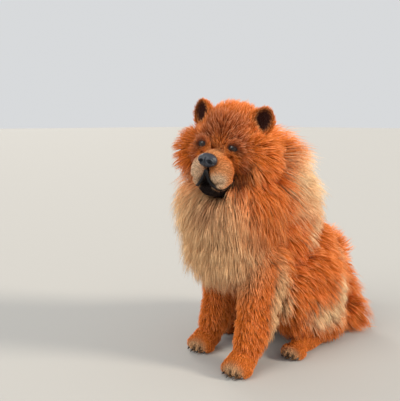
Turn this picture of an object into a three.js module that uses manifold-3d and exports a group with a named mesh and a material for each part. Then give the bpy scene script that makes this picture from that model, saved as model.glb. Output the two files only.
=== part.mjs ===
// A seated chow chow, life size: a thick-coated dog with a deep muzzle, small cupped ears, a mane
// that runs from the cheeks to the chest, and a plumed tail that rests on the ground behind it.
// Millimetres. x points to the dog's left, y to its rear, z up, and the ground is at z = 0.
// Each form of the body is an ellipsoid of flesh with the depth of coat that it carries. A node is
// one smooth surface wrapped round its forms, out to the tips of the coat.
import * as THREE from "three";
import { mergeVertices } from "three/addons/utils/BufferGeometryUtils.js";
import Module from "manifold-3d";

const wasm = await Module();
wasm.setup();

// Driving sizes of the dog
const HEAD_AT = [27, -171, 597]; // centre of the skull
const HEAD_YAW = 23; // degrees that the head is turned to the dog's left
const HEAD_ROLL = 7.5; // degrees that its left side is lowered
const FORELEG_X = [97, -77]; // the left and the right one
const FOREPAW_Y = [-200, -160]; // the right forepaw is set a little further back
const FOREPAW_TURN = [14, 10]; // degrees that each points to the dog's left
const HINDLEG_X = 118;
const EYE_RADIUS = 11.5;
const EYE_X = 41;
const EYE_Z = -27;
const EYE_STANDS_OUT = 3.5; // how far the eyeball's front passes the face round it

// How the solids are made
const GAP = 0.4; // what a node is cut clear of its neighbour by
const LEAST_COSINE = 0.35; // limits how far a sharp corner is moved to keep that gap
const BLEND = 11; // how softly forms run into each other
const WELD = 1e-3; // vertices closer than this are one

const vec = (x = 0, y = 0, z = 0) => new THREE.Vector3(x, y, z);
const sides = [1, -1]; // the dog's left, then its right

// A frame at a place, turned by degrees about x, then y, then z.
function frameAt(place, [tx, ty, tz] = [0, 0, 0]) {
  const turn = new THREE.Euler(...[tx, ty, tz].map(THREE.MathUtils.degToRad), "ZYX");
  return new THREE.Matrix4().makeRotationFromEuler(turn).setPosition(...place);
}
const bodyFrame = frameAt([0, 0, 0]);
const headFrame = frameAt(HEAD_AT, [0, HEAD_ROLL, HEAD_YAW]);

// Forms of the body

// An ellipsoid of flesh with the depth of its coat, out to the coat's tips.
function form(at, flesh, coat, turn, frame = bodyFrame) {
  const place = frameAt(at, turn).premultiply(frame);
  return { inverse: place.invert(), radii: flesh.map((radius) => radius + coat) };
}
const headForm = (at, flesh, coat) => form(at, flesh, coat, [0, 0, 0], headFrame);

// The same place on the side given, 1 for the left and -1 for the right.
const sided = (side, [x, y, z]) => [side * x, y, z];
const headPair = (at, flesh, coat) =>
  sides.map((side) => headForm(sided(side, at), flesh, coat));

const skullForms = [
  headForm([0, 24, 12], [80, 62, 58], 24),
  headForm([0, -16, 8], [58, 38, 46], 14),
  ...headPair([36, -32, -2], [30, 22, 20], 8),
  ...headPair([76, 8, -56], [44, 42, 54], 38),
  headForm([0, 10, -96], [62, 46, 42], 36),
];
const muzzleForms = [
  headForm([0, -76, -60], [31, 50, 23], 5),
  headForm([0, -58, -82], [44, 38, 40], 8),
  ...headPair([22, -90, -90], [27, 37, 40], 6),
];
const jawForms = [headForm([0, -66, -132], [34, 46, 22], 9)];
const maneForms = [
  form([8, -96, 526], [64, 48, 36], 94),
  form([0, -64, 478], [86, 86, 70], 92),
  form([0, -8, 400], [90, 95, 80], 78),
  form([0, -140, 400], [92, 78, 100], 76),
  form([0, -146, 300], [80, 60, 62], 62),
];
const torsoForms = [
  form([0, 10, 320], [100, 120, 92], 55, [-40, 0, 0]),
  form([0, 105, 245], [92, 110, 92], 58, [-40, 0, 0]),
  form([0, 165, 150], [100, 96, 110], 54),
  form([0, 20, 200], [84, 120, 90], 40),
];
const thighForms = (side) => [
  form(sided(side, [92, 70, 150]), [54, 108, 102], 44),
  form(sided(side, [98, -14, 165]), [42, 52, 58], 34),
  form(sided(side, [100, 120, 68]), [42, 66, 50], 34),
];
const forelegForms = (x, paw) => [
  form([x, paw + 78, 235], [42, 52, 74], 20),
  form([x, paw + 50, 145], [33, 38, 84], 14),
  form([x, paw + 22, 66], [30, 33, 44], 9),
];
const tailForms = [
  form([4, 284, 220], [24, 28, 30], 50),
  form([22, 292, 158], [22, 24, 38], 48),
  form([55, 290, 104], [24, 22, 36], 46),
  form([92, 268, 60], [34, 20, 24], 42),
];

// Fields

// A rough distance from a point to a form's surface.
function distanceTo(part, point) {
  const p = point.clone().applyMatrix4(part.inverse);
  const [a, b, c] = part.radii;
  const near = Math.hypot(p.x / a, p.y / b, p.z / c);
  const slope = Math.hypot(p.x / (a * a), p.y / (b * b), p.z / (c * c));
  return slope > 0 ? (near * (near - 1)) / slope : -Math.min(a, b, c);
}

// The distance to several forms that run softly into each other.
function distanceToAll(forms, point) {
  const near = (part) => Math.exp(-distanceTo(part, point) / BLEND);
  const sum = forms.reduce((total, part) => total + near(part), 0);
  return -BLEND * Math.log(sum);
}

// Shapes

// How far a ray from inside the forms runs before it leaves them.
function reach(forms, origin, direction) {
  const stride = 5;
  const at = (t) => distanceToAll(forms, origin.clone().addScaledVector(direction, t));
  let inside = 0;
  let outside = stride;
  while (at(outside) < 0) {
    inside = outside;
    outside += stride;
  }
  for (let halving = 0; halving < 14; halving++) {
    const middle = (inside + outside) / 2;
    if (at(middle) < 0) inside = middle;
    else outside = middle;
  }
  return outside;
}

// A closed skin round the forms: rays leave an axis all round it, and fan out past its two ends.
function wrap(forms, { axis, round, rings, fan = 0.24, across = [1, 0, 0] }) {
  const curve = new THREE.CatmullRomCurve3(axis);
  const skin = new THREE.SphereGeometry(1, round, rings);
  const position = skin.getAttribute("position");
  for (let i = 0; i < position.count; i++) {
    const unit = vec().fromBufferAttribute(position, i);
    const u = Math.acos(THREE.MathUtils.clamp(unit.y, -1, 1)) / Math.PI;
    const along = THREE.MathUtils.clamp((u - fan) / (1 - 2 * fan), 0, 1);
    const tilt = (Math.min(u, 1 - u, fan) / fan) * (Math.PI / 2);
    const back = curve.getTangent(along).multiplyScalar(u < 0.5 ? -1 : 1);
    const side = vec(...across).projectOnPlane(back).normalize();
    const up = side.clone().cross(curve.getTangent(along));
    const angle = -Math.atan2(unit.z, unit.x);
    const ray = side.multiplyScalar(Math.cos(angle)).addScaledVector(up, Math.sin(angle));
    ray.multiplyScalar(Math.sin(tilt)).addScaledVector(back, Math.cos(tilt));
    const origin = curve.getPoint(along);
    origin.addScaledVector(ray, reach(forms, origin, ray));
    position.setXYZ(i, origin.x, origin.y, origin.z);
  }
  return skin;
}

// Solids

// A three.js geometry as a closed solid, with the vertices that its faces share merged.
function solidOf(geometry, frame = bodyFrame) {
  const bare = geometry.clone().applyMatrix4(frame);
  bare.deleteAttribute("normal");
  bare.deleteAttribute("uv");
  const merged = mergeVertices(bare, WELD);
  return new wasm.Manifold(
    new wasm.Mesh({
      numProp: 3,
      vertProperties: merged.getAttribute("position").array,
      triVerts: new Uint32Array(merged.index.array),
    }),
  );
}
const fused = (solids) => wasm.Manifold.union(solids);

function geometryOf(solid) {
  const { vertProperties, triVerts } = solid.getMesh();
  const geometry = new THREE.BufferGeometry();
  geometry.setAttribute("position", new THREE.BufferAttribute(vertProperties, 3));
  geometry.setIndex(new THREE.BufferAttribute(triVerts, 1));
  return geometry;
}

// The largest closed surface of a solid, once its closest vertices are welded
function largest(solid) {
  const pieces = solidOf(geometryOf(solid)).decompose();
  return pieces.reduce((best, piece) => (piece.volume() > best.volume() ? piece : best));
}

const ball = (at, radii, frame, [round, rings] = [10, 7], turn) =>
  solidOf(
    new THREE.SphereGeometry(1, round, rings),
    new THREE.Matrix4()
      .copy(frame)
      .multiply(frameAt(at, turn))
      .scale(vec(...radii)),
  );

const FLOOR_DEPTH = 200;
const underFloor = solidOf(
  new THREE.BoxGeometry(1200, 1200, FLOOR_DEPTH),
  frameAt([0, 0, -FLOOR_DEPTH / 2]),
);

// The solid swollen by the gap along its vertex normals, to cut its neighbours clear of it
function swollen(solid) {
  const { vertProperties, triVerts } = solid.getMesh();
  const corner = (i) => vec().fromArray(vertProperties, 3 * i);
  const faces = Array.from({ length: vertProperties.length / 3 }, () => []);
  for (let t = 0; t < triVerts.length; t += 3) {
    const [a, b, c] = [0, 1, 2].map((k) => corner(triVerts[t + k]));
    const normal = b.clone().sub(a).cross(c.sub(a)).normalize();
    for (let k = 0; k < 3; k++) faces[triVerts[t + k]].push(normal);
  }
  const moved = Float32Array.from(vertProperties);
  faces.forEach((normals, i) => {
    const outward = normals.reduce((sum, normal) => sum.add(normal), vec()).normalize();
    const flattest = Math.min(...normals.map((normal) => normal.dot(outward)));
    const stretch = GAP / Math.max(flattest, LEAST_COSINE);
    corner(i).addScaledVector(outward, stretch).toArray(moved, 3 * i);
  });
  return new wasm.Manifold(new wasm.Mesh({ numProp: 3, vertProperties: moved, triVerts }));
}

const inHead = (...points) => points.map((p) => vec(...p).applyMatrix4(headFrame));

// Eyes
const faceForms = [...skullForms, ...muzzleForms];
const eyeCentre = (side) => {
  const [start] = inHead([side * EYE_X, 0, EYE_Z]);
  const ahead = vec(0, -1, 0).transformDirection(headFrame);
  const depth = reach(faceForms, start, ahead);
  return [side * EYE_X, EYE_RADIUS - EYE_STANDS_OUT - depth, EYE_Z];
};
const eyeSolid = (side) => ball(eyeCentre(side), Array(3).fill(EYE_RADIUS), headFrame, [14, 10]);

// Lids: a slanted almond ring round each eyeball, thicker above it
function lidSolid(side) {
  const ring = new THREE.TorusGeometry(10.5, 4.2, 6, 16);
  const frame = new THREE.Matrix4()
    .copy(headFrame)
    .multiply(frameAt(eyeCentre(side), [0, 0, side * 18]))
    .multiply(frameAt([0, -6.5, 0], [90, side * 14, 0]))
    .scale(vec(1.12, 0.8, 1));
  return solidOf(ring, frame);
}

// Nose, a leather pad with two nostrils and a groove between them
const NOSE_AT = [0, -126, -61];
function noseSolid() {
  const pad = ball(NOSE_AT, [25, 17, 18], headFrame, [14, 10]);
  const nostrils = sides.map((side) =>
    ball([side * 10, -140, -62], [5, 7, 4.2], headFrame, [10, 7], [0, side * 25, 0]),
  );
  const groove = ball([0, -143, -70], [1.8, 6, 9], headFrame, [8, 6]);
  return pad.subtract(fused([...nostrils, groove]));
}

// Head, with the muzzle, the flews and their lips
function lipSolid(side) {
  const corner = [side * 44, -56, -104];
  const hang = [side * 34, -92, -126];
  const front = [side * 3, -126, -100];
  const line = new THREE.CatmullRomCurve3(inHead(corner, hang, front));
  const lip = new THREE.Shape().absarc(0, 0, 4.5, 0, Math.PI * 2);
  return solidOf(
    new THREE.ExtrudeGeometry(lip, { extrudePath: line, steps: 8, curveSegments: 6 }),
  );
}
const headAxis = inHead([0, 36, -20], [0, 0, -30], [0, -42, -52], [0, -92, -72]);
function headSolid() {
  const axis = { axis: headAxis, round: 30, rings: 22, fan: 0.3 };
  const skin = solidOf(wrap(faceForms, axis));
  return fused([skin, ...sides.map(lipSolid), ...sides.map(lidSolid)]);
}
function jawSolid() {
  const axis = inHead([0, -30, -124], [0, -88, -128]);
  return solidOf(wrap(jawForms, { axis, round: 16, rings: 10 }));
}

// Ears: a thick rounded triangle that leans forward, hollowed in front
const EAR = { across: 36, deep: 17, tall: 46, at: [86, -2, 48], turn: [4, 16, 22] };
function earSolid(side) {
  const [tx, ty, tz] = EAR.turn;
  const frame = new THREE.Matrix4()
    .copy(headFrame)
    .multiply(frameAt([side * EAR.at[0], EAR.at[1], EAR.at[2]], [tx, side * ty, side * tz]));
  const shell = (across, deep, tall, at) => {
    const shape = new THREE.SphereGeometry(1, 12, 10);
    const position = shape.getAttribute("position");
    for (let i = 0; i < position.count; i++) {
      const [x, y, z] = [position.getX(i), position.getZ(i), position.getY(i)];
      const narrow = 1 - 0.28 * z - 0.12 * z * z;
      position.setXYZ(i, x * across * narrow, -y * deep * narrow, z * tall);
    }
    return solidOf(shape, new THREE.Matrix4().copy(frame).multiply(frameAt(at)));
  };
  const outer = shell(EAR.across, EAR.deep, EAR.tall, [0, 0, 0]);
  return outer.subtract(shell(EAR.across - 8, EAR.deep, EAR.tall - 9, [0, -12, -1]));
}

// Mane, from the nape and the throat to the foot of the chest
function maneSolid() {
  const axis = [vec(8, -70, 555), vec(4, -66, 470), vec(0, -90, 380), vec(0, -130, 310)];
  return solidOf(wrap(maneForms, { axis, round: 22, rings: 16 }));
}

// Torso, from behind the mane to the rump
function torsoSolid() {
  const axis = [vec(0, -10, 330), vec(0, 70, 250), vec(0, 150, 165)];
  return solidOf(wrap(torsoForms, { axis, round: 22, rings: 14 }));
}

// Hind legs, folded under the flanks
function thighSolid(side) {
  const axis = [vec(side * 98, -20, 155), vec(side * 94, 60, 140), vec(side * 98, 120, 90)];
  return solidOf(wrap(thighForms(side), { axis, round: 16, rings: 12 }));
}

// A foot of one pad and four toes, pointing along its frame's -y, with its sole on the ground
function footSolid(frame, { pad, toe, spread, reachOut }) {
  const sunk = (height) => height - 2; // the floor cuts a flat sole
  const main = ball([0, 0, sunk(pad[2])], pad, frame, [12, 8]);
  const toes = [-1.5, -0.5, 0.5, 1.5].map((place) =>
    ball([place * spread, 5 * place * place - reachOut, sunk(toe[2])], toe, frame, [8, 6]),
  );
  return fused([main, ...toes]);
}
const forepaw = { pad: [38, 48, 31], toe: [14, 26, 20], spread: 18, reachOut: 34 };
const hindpaw = { pad: [32, 80, 27], toe: [12, 25, 17], spread: 15, reachOut: 82 };
const forepawSolid = (x, y, turn) => footSolid(frameAt([x, y, 0], [0, 0, turn]), forepaw);
const hindpawSolid = (side) =>
  footSolid(frameAt([side * HINDLEG_X, 40, 0], [0, 0, side * 8]), hindpaw);

// Forelegs, straight and close under the chest
function forelegSolid(x, paw) {
  const axis = [vec(x, paw + 78, 250), vec(x, paw + 50, 150), vec(x, paw + 22, 62)];
  return solidOf(wrap(forelegForms(x, paw), { axis, round: 14, rings: 12 }));
}

// Tail, down behind the rump and round to the dog's left on the ground
function tailSolid() {
  const axis = [vec(4, 276, 212), vec(22, 292, 158), vec(55, 290, 104), vec(90, 269, 62)];
  return solidOf(wrap(tailForms, { axis, round: 14, rings: 14 }));
}

// Nodes, in the order in which each is cut clear of those before it
const coatOf = (color) => ({ color, roughness: 0.95, metalness: 0 });
const red = coatOf("#a84d18");
const orange = coatOf("#b4561c");
const tan = coatOf("#c08a58");
const leather = { color: "#2b2a2e", roughness: 0.4, metalness: 0 };
const wet = { color: "#120c0a", roughness: 0.08, metalness: 0 };

const names = ["left", "right"];
const pairOf = (name, look, near, build) =>
  names.map((end, i) => ({
    name: `${name}_${end}`,
    look,
    near: near.map((other) => other.replace("SIDE", end)),
    build: () => build(i),
  }));
const nodes = [
  { name: "nose", look: leather, near: [], build: noseSolid },
  ...pairOf("eye", wet, [], (i) => eyeSolid(sides[i])),
  { name: "head", look: red, near: ["nose", "eye_left", "eye_right"], build: headSolid },
  { name: "lower_jaw", look: tan, near: ["head"], build: jawSolid },
  ...pairOf("ear", red, ["head"], (i) => earSolid(sides[i])),
  { name: "mane", look: orange, near: ["head", "lower_jaw", "ear_left", "ear_right"], build: maneSolid },
  ...pairOf("forepaw", tan, [], (i) =>
    forepawSolid(FORELEG_X[i], FOREPAW_Y[i], FOREPAW_TURN[i]),
  ),
  ...pairOf("hindpaw", tan, [], (i) => hindpawSolid(sides[i])),
  { name: "torso", look: orange, near: ["mane", "hindpaw_left", "hindpaw_right"], build: torsoSolid },
  ...pairOf("foreleg", orange, ["mane", "torso", "forepaw_SIDE"], (i) =>
    forelegSolid(FORELEG_X[i], FOREPAW_Y[i]),
  ),
  ...pairOf("thigh", orange, ["mane", "torso", "foreleg_SIDE", "hindpaw_SIDE"], (i) =>
    thighSolid(sides[i]),
  ),
  { name: "tail", look: orange, near: ["torso", "thigh_left", "thigh_right"], build: tailSolid },
];

// Each node's solid, clear of its neighbours and of the floor
const solids = new Map();
for (const { name, near, build } of nodes) {
  const neighbours = near.map((other) => solids.get(other));
  const cutters = [...neighbours, ...neighbours.map(swollen)];
  solids.set(name, largest(build().subtract(fused([underFloor, ...cutters]))));
}

function meshOf({ name, look }) {
  const geometry = geometryOf(solids.get(name));
  geometry.computeVertexNormals();
  const mesh = new THREE.Mesh(geometry, new THREE.MeshStandardMaterial(look));
  mesh.name = name;
  return mesh;
}

// The dog, with its origin on the ground at the middle of its box
const dog = new THREE.Group();
dog.name = "chow_chow";
dog.add(...nodes.map(meshOf));
const box = new THREE.Box3().setFromObject(dog);
const middle = box.getCenter(vec());
dog.position.set(-middle.x, -middle.y, -box.min.z);

export default dog;
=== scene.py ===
"""Looks of a seated chow chow: one skin, a coat of solid tufts that lie along it, and its face.

Lengths in the tables are millimetres in the dog's own frame: x to its left, y to its rear, z up.
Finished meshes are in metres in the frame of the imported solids.
"""

import itertools
import math
from collections import namedtuple

import bmesh
import bpy
import numpy as np
from bpy.props import FloatProperty, FloatVectorProperty, PointerProperty
from mathutils import Euler, Matrix, Vector
from mathutils.kdtree import KDTree


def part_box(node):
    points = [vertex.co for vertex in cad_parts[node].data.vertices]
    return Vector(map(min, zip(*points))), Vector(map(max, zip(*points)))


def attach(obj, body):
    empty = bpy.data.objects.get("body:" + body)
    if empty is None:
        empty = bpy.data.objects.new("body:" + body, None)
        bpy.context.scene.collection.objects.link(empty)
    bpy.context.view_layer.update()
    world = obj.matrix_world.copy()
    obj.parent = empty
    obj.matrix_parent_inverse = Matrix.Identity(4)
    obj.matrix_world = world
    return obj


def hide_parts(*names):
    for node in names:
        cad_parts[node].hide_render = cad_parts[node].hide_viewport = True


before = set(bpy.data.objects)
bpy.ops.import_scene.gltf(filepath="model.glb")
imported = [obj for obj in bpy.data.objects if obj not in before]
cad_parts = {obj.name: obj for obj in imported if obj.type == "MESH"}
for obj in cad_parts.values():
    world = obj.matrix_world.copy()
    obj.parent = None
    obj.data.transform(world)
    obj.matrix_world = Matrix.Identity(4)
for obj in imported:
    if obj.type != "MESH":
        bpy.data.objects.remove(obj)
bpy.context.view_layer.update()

bl_info = {
    "name": "Seated chow chow",
    "version": (1, 0, 0),
    "blender": (4, 5, 0),
    "location": "3D View > Sidebar > Chow chow",
    "description": "Skin, coat and face of a life-size seated chow chow",
    "category": "Add Mesh",
}

MM = 0.001
BODY = "root"  # the model's only body
MIDDLE_Y = -27.26  # from the dog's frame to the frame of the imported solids
SIDES = (1, -1)  # the dog's left, then its right
SIDE_WORDS = ("left", "right")
TO_METRES = Matrix.Scale(MM, 4) @ Matrix.Translation((0, MIDDLE_Y, 0))


def placed(at, turn=(0, 0, 0), frame_of=Matrix()):
    """A frame at a place, turned by degrees about x, then y, then z."""
    turned = Euler([math.radians(angle) for angle in turn], "XYZ").to_matrix().to_4x4()
    return frame_of @ Matrix.Translation(at) @ turned


HEAD = placed((27, -171, 597), (0, 7.5, 23))  # turned to the dog's left, and tilted
EYE_RADIUS = 11.5
EYE_SPLAY = 16  # degrees that each eye looks outwards from the head's middle
LID_SLANT = 10  # degrees that the opening of the lids is turned
NOSE_AT = (0, -126, -61)
EAR_AT, EAR_TURN = (86, -2, 48), (4, 16, 22)  # of the left ear, in the head's frame
FORELEGS = ((97, -200, 14), (-77, -160, 10))  # each leg's x, its paw's y, and its paw's turn in degrees
HINDPAW_AT, HINDPAW_TURN = (118, 40), 8


# Forms of the body
# Each has its part, its middle, its radii, the depth of its coat, and the way that the coat lies,
# and some have a turn in degrees

Form = namedtuple("Form", "part frame radii coat lie")


def form(part, at, radii, coat, lie, turn=(0, 0, 0), frame_of=Matrix()):
    """An ellipsoid of flesh, with the depth of its coat and the way that the coat lies."""
    lying = (frame_of.to_3x3() @ Vector(lie)).normalized()
    return Form(part, placed(at, turn, frame_of), Vector(radii), coat, lying)


def of_head(*words):
    """A form whose place is given in the head's own frame."""
    return form(*words, frame_of=HEAD)


def pair(part, at, radii, coat, lie, frame_of=Matrix()):
    """The same form on the left and on the right."""
    return [
        form(part, (s * at[0], *at[1:]), radii, coat, (s * lie[0], *lie[1:]), frame_of=frame_of)
        for s in SIDES
    ]


HEAD_FORMS = [
    of_head("skull", (0, 24, 12), (80, 62, 58), 24, (0, 0.8, 0.5)),
    of_head("skull", (0, -16, 8), (58, 38, 46), 14, (0, 0.35, 0.9)),
    *pair("skull", (36, -32, -2), (30, 22, 20), 8, (0.45, 0.2, 0.85), HEAD),
    *pair("skull", (48, -32, -50), (32, 27, 34), 9, (0.6, 0.6, -0.45), HEAD),
    of_head("skull", (0, -36, -24), (30, 24, 28), 8, (0, 0.5, 0.85)),
    *pair("skull", (76, 8, -56), (44, 42, 54), 38, (0.4, 0.75, -0.55), HEAD),
    of_head("skull", (0, 10, -96), (62, 46, 42), 36, (0, 0.1, -1)),
    of_head("face", (0, -76, -60), (31, 50, 23), 5, (0, 0.95, 0.3)),
    of_head("face", (0, -58, -82), (44, 38, 40), 8, (0, 0.95, -0.1)),
    *pair("face", (24, -90, -92), (29, 37, 42), 5, (0.4, 0.85, -0.35), HEAD),
    of_head("face", (0, -66, -132), (34, 46, 22), 9, (0, 0.6, -0.8)),
]
BODY_FORMS = [
    form("mane", (8, -96, 526), (64, 48, 36), 94, (0, 0.75, -0.66)),
    form("mane", (0, -64, 478), (86, 86, 70), 92, (0, 0.62, -0.78)),
    form("mane", (0, -8, 400), (90, 95, 80), 78, (0, 0.6, -0.8)),
    form("chest", (0, -140, 400), (92, 78, 100), 76, (0, -0.05, -1)),
    form("chest", (0, -146, 300), (80, 60, 62), 62, (0, 0.05, -1)),
    form("torso", (0, 10, 320), (100, 120, 92), 55, (0, 0.55, -0.84), (-40, 0, 0)),
    form("torso", (0, 105, 245), (92, 110, 92), 58, (0, 0.55, -0.84), (-40, 0, 0)),
    form("torso", (0, 165, 150), (100, 96, 110), 54, (0, 0.35, -0.94)),
    form("torso", (0, 20, 200), (84, 120, 90), 40, (0, 0.3, -0.95)),
    *pair("thigh", (92, 70, 150), (54, 108, 102), 44, (0.1, 0.4, -0.9)),
    *pair("thigh", (98, -14, 165), (42, 52, 58), 34, (0.1, 0.35, -0.93)),
    *pair("thigh", (100, 120, 68), (42, 66, 50), 34, (0.15, 0.45, -0.88)),
    form("tail", (4, 284, 220), (24, 28, 30), 50, (0.1, 0.75, 0.3)),
    form("tail", (22, 292, 158), (22, 24, 38), 48, (0.2, 0.8, -0.6)),
    form("tail", (55, 290, 104), (24, 22, 36), 46, (0.5, 0.5, -0.65)),
    form("tail", (92, 268, 60), (34, 20, 24), 42, (0.7, 0.2, -0.65)),
]


def foreleg_forms(x, paw):
    """A foreleg from the elbow down to the pastern, over the paw whose place is given."""
    return [
        form("leg", (x, paw + 78, 235), (42, 52, 74), 20, (0, 0.25, -0.96)),
        form("leg", (x, paw + 62, 190), (37, 44, 60), 17, (0, 0.2, -0.98)),
        form("leg", (x, paw + 50, 145), (33, 38, 84), 14, (0, 0.2, -0.98)),
        form("leg", (x, paw + 33, 96), (31, 35, 52), 11, (0, 0.15, -1)),
        form("leg", (x, paw + 22, 66), (30, 33, 44), 9, (0, 0.1, -1)),
    ]


TOES = (-1.5, -0.5, 0.5, 1.5)  # places across the paw, in spreads


def toe_at(place, spread, reach_out):
    """Where a toe is in the paw's frame: the outer ones are set back."""
    return place * spread, 5 * place * place - reach_out


def foot_forms(at, pad, toe, spread, reach_out):
    """A pad and four toes, set so low that the ground presses the coat under them flat."""
    coat, sunk, lie = 4, 2, (0, -0.75, -0.5)
    forms = [form("paw", (0, 0, pad[2] - sunk), [r - coat for r in pad], coat, lie, frame_of=at)]
    for place in TOES:
        middle = (*toe_at(place, spread, reach_out), toe[2] - sunk)
        forms.append(form("paw", middle, [r - coat * 0.6 for r in toe], coat, lie, frame_of=at))
    return forms


FOREPAW = dict(pad=(38, 48, 31), toe=(14, 26, 20), spread=18, reach_out=34)
HINDPAW = dict(pad=(32, 80, 27), toe=(12, 25, 17), spread=15, reach_out=82)
FORE_FEET = [placed((x, paw, 0), (0, 0, turn)) for x, paw, turn in FORELEGS]
HIND_FEET = [placed((s * HINDPAW_AT[0], HINDPAW_AT[1], 0), (0, 0, s * HINDPAW_TURN)) for s in SIDES]
EARS = [
    placed((s * EAR_AT[0], *EAR_AT[1:]), (EAR_TURN[0], s * EAR_TURN[1], s * EAR_TURN[2]), HEAD)
    for s in SIDES
]
FORMS = [
    *HEAD_FORMS,
    *BODY_FORMS,
    *[one for x, paw, _turn in FORELEGS for one in foreleg_forms(x, paw)],
    *[one for at in FORE_FEET for one in foot_forms(at, **FOREPAW)],
    *[one for at in HIND_FEET for one in foot_forms(at, **HINDPAW)],
    # An ear's own flesh has a bowl in it, so these only carry its coat
    *[form("ear", (0, 2, 0), (33, 13, 41), 2, (0, 0.6, 0.3), frame_of=at) for at in EARS],
    *[form("ear", (0, 8, -4), (31, 9, 37), 16, (0, 0.3, 1), frame_of=at) for at in EARS],
]
JAW = len(HEAD_FORMS) - 1  # the last form of the head
TINTED_AT = 0.8  # share of the coat's depth at which its markings and painted light are read
BLENDS_OVER = 9  # mm over which one form's coat gives way to the next
PARTS = ("face", "skull", "ear", "mane", "chest", "torso", "thigh", "tail", "leg", "paw")


# Points and forms

def within(points, at):
    """Points in a frame's own coordinates."""
    return (points - np.array(at.translation)) @ np.array(at.to_3x3())


def turned_by(vectors, at):
    """Directions in a frame's own coordinates, as directions in the dog's."""
    return vectors @ np.array(at.to_3x3()).T


def outside(inside, at):
    """Points in a frame's own coordinates, as points in the dog's."""
    return turned_by(inside, at) + np.array(at.translation)


def length_of(v):
    return np.linalg.norm(v, axis=-1, keepdims=True)


def unit(v):
    return v / np.maximum(length_of(v), 1e-9)


def smooth(x, low, high):
    """0 below low, 1 above high, and a smooth rise between them."""
    t = np.clip((x - low) / (high - low), 0, 1)
    return t * t * (3 - 2 * t)


def distances(points):
    """A rough distance from each point to each form."""
    near = np.empty((len(points), len(FORMS)))
    for i, one in enumerate(FORMS):
        radii = np.array(one.radii)
        inside = within(points, one.frame)
        k = np.linalg.norm(inside / radii, axis=1)
        slope = np.linalg.norm(inside / radii**2, axis=1)
        near[:, i] = k * (k - 1) / np.maximum(slope, 1e-9)
    return near


def shares(points):
    """How much each form has to say at each point, and which form is the nearest."""
    near = distances(points)
    weight = np.exp(-(near - near.min(axis=1, keepdims=True)) / BLENDS_OVER)
    return weight / weight.sum(axis=1, keepdims=True), near.argmin(axis=1)


def eye_gap(points):
    """How far each point is from the nearer eye."""
    return np.minimum(*[np.linalg.norm(points - np.array(at.translation), axis=1) for at in EYES])


def depth_at(points, weight):
    """The coat's depth, which is less close to the eyes."""
    depth = weight @ np.array([one.coat for one in FORMS], dtype=float)
    return depth * (0.6 + 0.4 * smooth(eye_gap(points), 13, 30))


# Markings and painted light

def shade(red, green, blue):
    """A screen colour of 0 to 255 as a linear one."""
    parts = (red / 255, green / 255, blue / 255)
    return tuple(((c + 0.055) / 1.055) ** 2.4 if c > 0.04045 else c / 12.92 for c in parts)


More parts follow.
